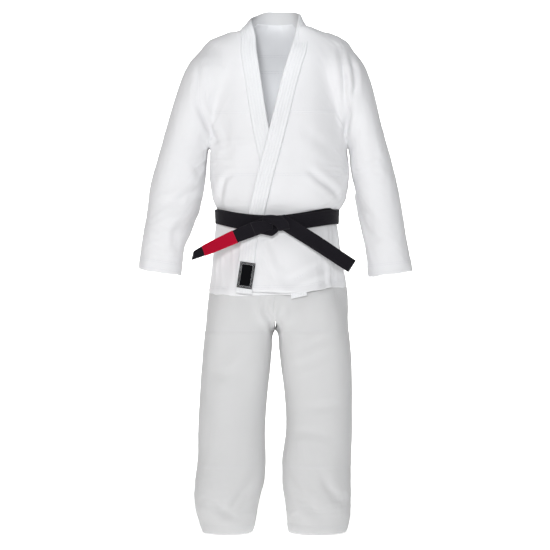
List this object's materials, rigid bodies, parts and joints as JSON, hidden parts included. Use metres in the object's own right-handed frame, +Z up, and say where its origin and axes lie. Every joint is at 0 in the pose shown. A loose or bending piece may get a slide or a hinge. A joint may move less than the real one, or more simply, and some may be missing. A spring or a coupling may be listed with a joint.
{
  "type": "martial arts uniform",
  "caption": "White wrap-over jacket with a firm lapel, knotted black belt with a red bar, and loose straight trousers, in their worn shape.",
  "frame": {"origin": "middle of the neck opening, on the body axis, level with the join of collar and shoulders", "axes": "+Z up, -Y to the wearer's front, +X to the wearer's left"},
  "size_m": [0.7918, 0.3026, 1.466],
  "materials": {
    "jacket_cotton": "matte",
    "lapel_cotton": "matte",
    "trouser_cotton": "matte",
    "drawstring_cotton": "matte",
    "belt_black": "matte",
    "rank_bar_crimson": "satin",
    "patch_black": "matte",
    "patch_white": "satin",
    "lapel_core_rubber": "matte"
  },
  "bodies": {
    "jacket": {"back_panel": "jacket_cotton", "back_waist": "jacket_cotton", "yoke_lining": "jacket_cotton", "collar_band": "lapel_cotton", "collar_core": "lapel_core_rubber", "lapel_patch": "patch_black", "lapel_patch_border": "patch_white", "belt_inner_wrap": "belt_black", "belt_outer_wrap": "belt_black", "belt_knot": "belt_black", "front_panel_left": "jacket_cotton", "front_panel_right": "jacket_cotton", "front_skirt_left": "jacket_cotton", "front_skirt_right": "jacket_cotton", "shoulder_patch_left": "jacket_cotton", "shoulder_patch_right": "jacket_cotton", "armpit_gusset_left": "jacket_cotton", "armpit_gusset_right": "jacket_cotton", "vent_tape_left": "jacket_cotton", "vent_tape_right": "jacket_cotton", "lapel_left": "lapel_cotton", "lapel_right": "lapel_cotton", "lapel_core_left": "lapel_core_rubber", "lapel_core_right": "lapel_core_rubber"},
    "left_sleeve": {"sleeve_front_left": "jacket_cotton", "sleeve_back_left": "jacket_cotton", "cuff_tape_left": "jacket_cotton"},
    "right_sleeve": {"sleeve_front_right": "jacket_cotton", "sleeve_back_right": "jacket_cotton", "cuff_tape_right": "jacket_cotton"},
    "left_belt_end": {"belt_end_left": "belt_black"},
    "right_belt_end": {"belt_end_right": "belt_black", "rank_bar": "rank_bar_crimson"},
    "back_skirt": {"back_flap": "jacket_cotton"},
    "trousers": {"trouser_front": "trouser_cotton", "trouser_seat": "trouser_cotton", "crotch_gusset": "trouser_cotton", "waistband": "trouser_cotton", "drawstring": "drawstring_cotton", "drawstring_loops": "drawstring_cotton"},
    "left_leg": {"leg_front_left": "trouser_cotton", "leg_back_left": "trouser_cotton", "knee_patch_left": "trouser_cotton", "leg_hem_tape_left": "trouser_cotton"},
    "right_leg": {"leg_front_right": "trouser_cotton", "leg_back_right": "trouser_cotton", "knee_patch_right": "trouser_cotton", "leg_hem_tape_right": "trouser_cotton"}
  },
  "joints": [
    {"name": "left_sleeve_raise", "type": "hinge", "parent": "jacket", "child": "left_sleeve", "pos_m": [0.19, 0, -0.166], "axis": [0, -1, 0], "range_deg": [0, 60]},
    {"name": "right_sleeve_raise", "type": "hinge", "parent": "jacket", "child": "right_sleeve", "pos_m": [-0.19, 0, -0.166], "axis": [0, 1, 0], "range_deg": [0, 60]},
    {"name": "left_belt_end_droop", "type": "hinge", "parent": "jacket", "child": "left_belt_end", "pos_m": [0.025, -0.14575, -0.549], "axis": [0, 1, 0], "range_deg": [0, 40]},
    {"name": "right_belt_end_droop", "type": "hinge", "parent": "jacket", "child": "right_belt_end", "pos_m": [-0.025, -0.14575, -0.549], "axis": [0, -1, 0], "range_deg": [0, 40]},
    {"name": "back_skirt_swing", "type": "hinge", "parent": "jacket", "child": "back_skirt", "pos_m": [0, 0.124, -0.582], "axis": [1, 0, 0], "range_deg": [0, 12]},
    {"name": "trousers_down", "type": "slide", "parent": "jacket", "child": "trousers", "axis": [0, 0, -1], "range_m": [0, 0.3]},
    {"name": "left_leg_swing", "type": "hinge", "parent": "trousers", "child": "left_leg", "pos_m": [0.106, 0, -0.828], "axis": [1, 0, 0], "range_deg": [-25, 25]},
    {"name": "right_leg_swing", "type": "hinge", "parent": "trousers", "child": "right_leg", "pos_m": [-0.106, 0, -0.828], "axis": [1, 0, 0], "range_deg": [-25, 25]}
  ]
}
